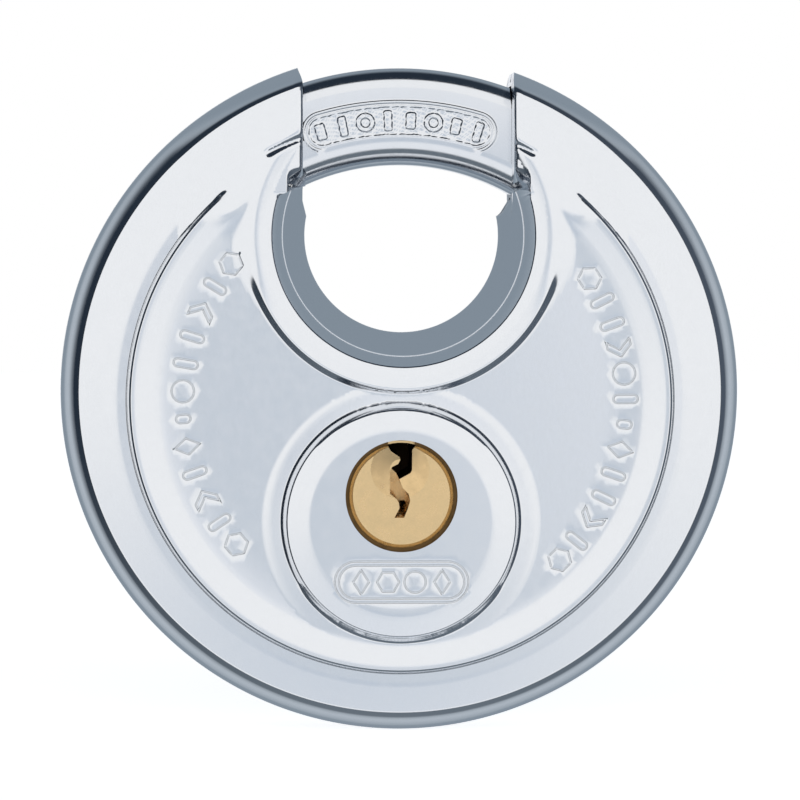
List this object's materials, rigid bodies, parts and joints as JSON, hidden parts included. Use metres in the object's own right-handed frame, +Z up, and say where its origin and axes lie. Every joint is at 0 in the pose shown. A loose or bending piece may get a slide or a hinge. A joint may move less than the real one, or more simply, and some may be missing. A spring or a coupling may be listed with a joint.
{
  "type": "disc padlock",
  "caption": "Round stainless disc padlock: shrouded arc shackle that turns about the disc's centre, brass keyed plug, eccentric-pin drive and pin-tumbler cylinder.",
  "frame": {"origin": "on the shackle's turning axis (the disc's centre), on the flat rear face", "axes": "+Z up towards the shackle, +Y out of the rear face, so the keyhole faces -Y and +X is to the right seen from the front"},
  "size_m": [0.07, 0.0242, 0.0685],
  "materials": {
    "stainless_cup": "bright drawn stainless",
    "hardened_steel": "plated, satin bright",
    "brass": "turned, fine satin",
    "inner_steel": "satin",
    "zinc_core": "dull",
    "spring_steel": "bright wire"
  },
  "bodies": {
    "casing": {"front_shell": "stainless_cup", "rear_shell": "stainless_cup", "rim_weld": "stainless_cup", "throat_liner": "hardened_steel", "core_block": "zinc_core", "back_plate": "inner_steel", "dowel_pins": "inner_steel", "front_guide_ring": "inner_steel", "rear_guide_left": "inner_steel", "rear_guide_right": "inner_steel", "anti_drill_plate": "inner_steel", "cylinder_body": "brass", "chamber_cover": "brass", "pin_spring_1": "spring_steel", "pin_spring_2": "spring_steel", "pin_spring_3": "spring_steel", "pin_spring_4": "spring_steel", "pin_spring_5": "spring_steel"},
    "shackle": {"shackle": "hardened_steel", "drive_fork": "inner_steel", "fork_rivets": "inner_steel"},
    "plug": {"plug": "brass", "driver": "inner_steel", "drive_pin": "inner_steel", "driver_screw": "inner_steel"},
    "key_pin_1": {"key_pin_1": "brass"},
    "driver_pin_1": {"driver_pin_1": "brass"},
    "key_pin_2": {"key_pin_2": "brass"},
    "driver_pin_2": {"driver_pin_2": "brass"},
    "key_pin_3": {"key_pin_3": "brass"},
    "driver_pin_3": {"driver_pin_3": "brass"},
    "key_pin_4": {"key_pin_4": "brass"},
    "driver_pin_4": {"driver_pin_4": "brass"},
    "key_pin_5": {"key_pin_5": "brass"},
    "driver_pin_5": {"driver_pin_5": "brass"}
  },
  "joints": [
    {"name": "shackle_turn", "type": "hinge", "parent": "casing", "child": "shackle", "pos_m": [0, -0.011, 0], "axis": [0, 1, 0], "range_deg": [0, 70]},
    {"name": "plug_turn", "type": "hinge", "parent": "casing", "child": "plug", "pos_m": [0, -0.011, -0.0104], "axis": [0, 1, 0], "range_deg": [0, 180.5]},
    {"name": "key_pin_1_lift", "type": "slide", "parent": "plug", "child": "key_pin_1", "axis": [0, 0, 1], "range_m": [0, 0.0008]},
    {"name": "key_pin_2_lift", "type": "slide", "parent": "plug", "child": "key_pin_2", "axis": [0, 0, 1], "range_m": [0, 0.0008]},
    {"name": "key_pin_3_lift", "type": "slide", "parent": "plug", "child": "key_pin_3", "axis": [0, 0, 1], "range_m": [0, 0.0008]},
    {"name": "key_pin_4_lift", "type": "slide", "parent": "plug", "child": "key_pin_4", "axis": [0, 0, 1], "range_m": [0, 0.0008]},
    {"name": "key_pin_5_lift", "type": "slide", "parent": "plug", "child": "key_pin_5", "axis": [0, 0, 1], "range_m": [0, 0.0008]},
    {"name": "driver_pin_1_press", "type": "slide", "parent": "casing", "child": "driver_pin_1", "axis": [0, 0, -1], "range_m": [0, 0.0012], "stiffness_N_per_m": 80, "springref_m": -0.001, "deforming": ["pin_spring_1"]},
    {"name": "driver_pin_2_press", "type": "slide", "parent": "casing", "child": "driver_pin_2", "axis": [0, 0, -1], "range_m": [0, 0.0012], "stiffness_N_per_m": 80, "springref_m": -0.001, "deforming": ["pin_spring_2"]},
    {"name": "driver_pin_3_press", "type": "slide", "parent": "casing", "child": "driver_pin_3", "axis": [0, 0, -1], "range_m": [0, 0.0012], "stiffness_N_per_m": 80, "springref_m": -0.001, "deforming": ["pin_spring_3"]},
    {"name": "driver_pin_4_press", "type": "slide", "parent": "casing", "child": "driver_pin_4", "axis": [0, 0, -1], "range_m": [0, 0.0012], "stiffness_N_per_m": 80, "springref_m": -0.001, "deforming": ["pin_spring_4"]},
    {"name": "driver_pin_5_press", "type": "slide", "parent": "casing", "child": "driver_pin_5", "axis": [0, 0, -1], "range_m": [0, 0.0012], "stiffness_N_per_m": 80, "springref_m": -0.001, "deforming": ["pin_spring_5"]}
  ],
  "couplings": [
    {"joint": "plug_turn", "follows": "shackle_turn", "ratio": 2.5714}
  ]
}
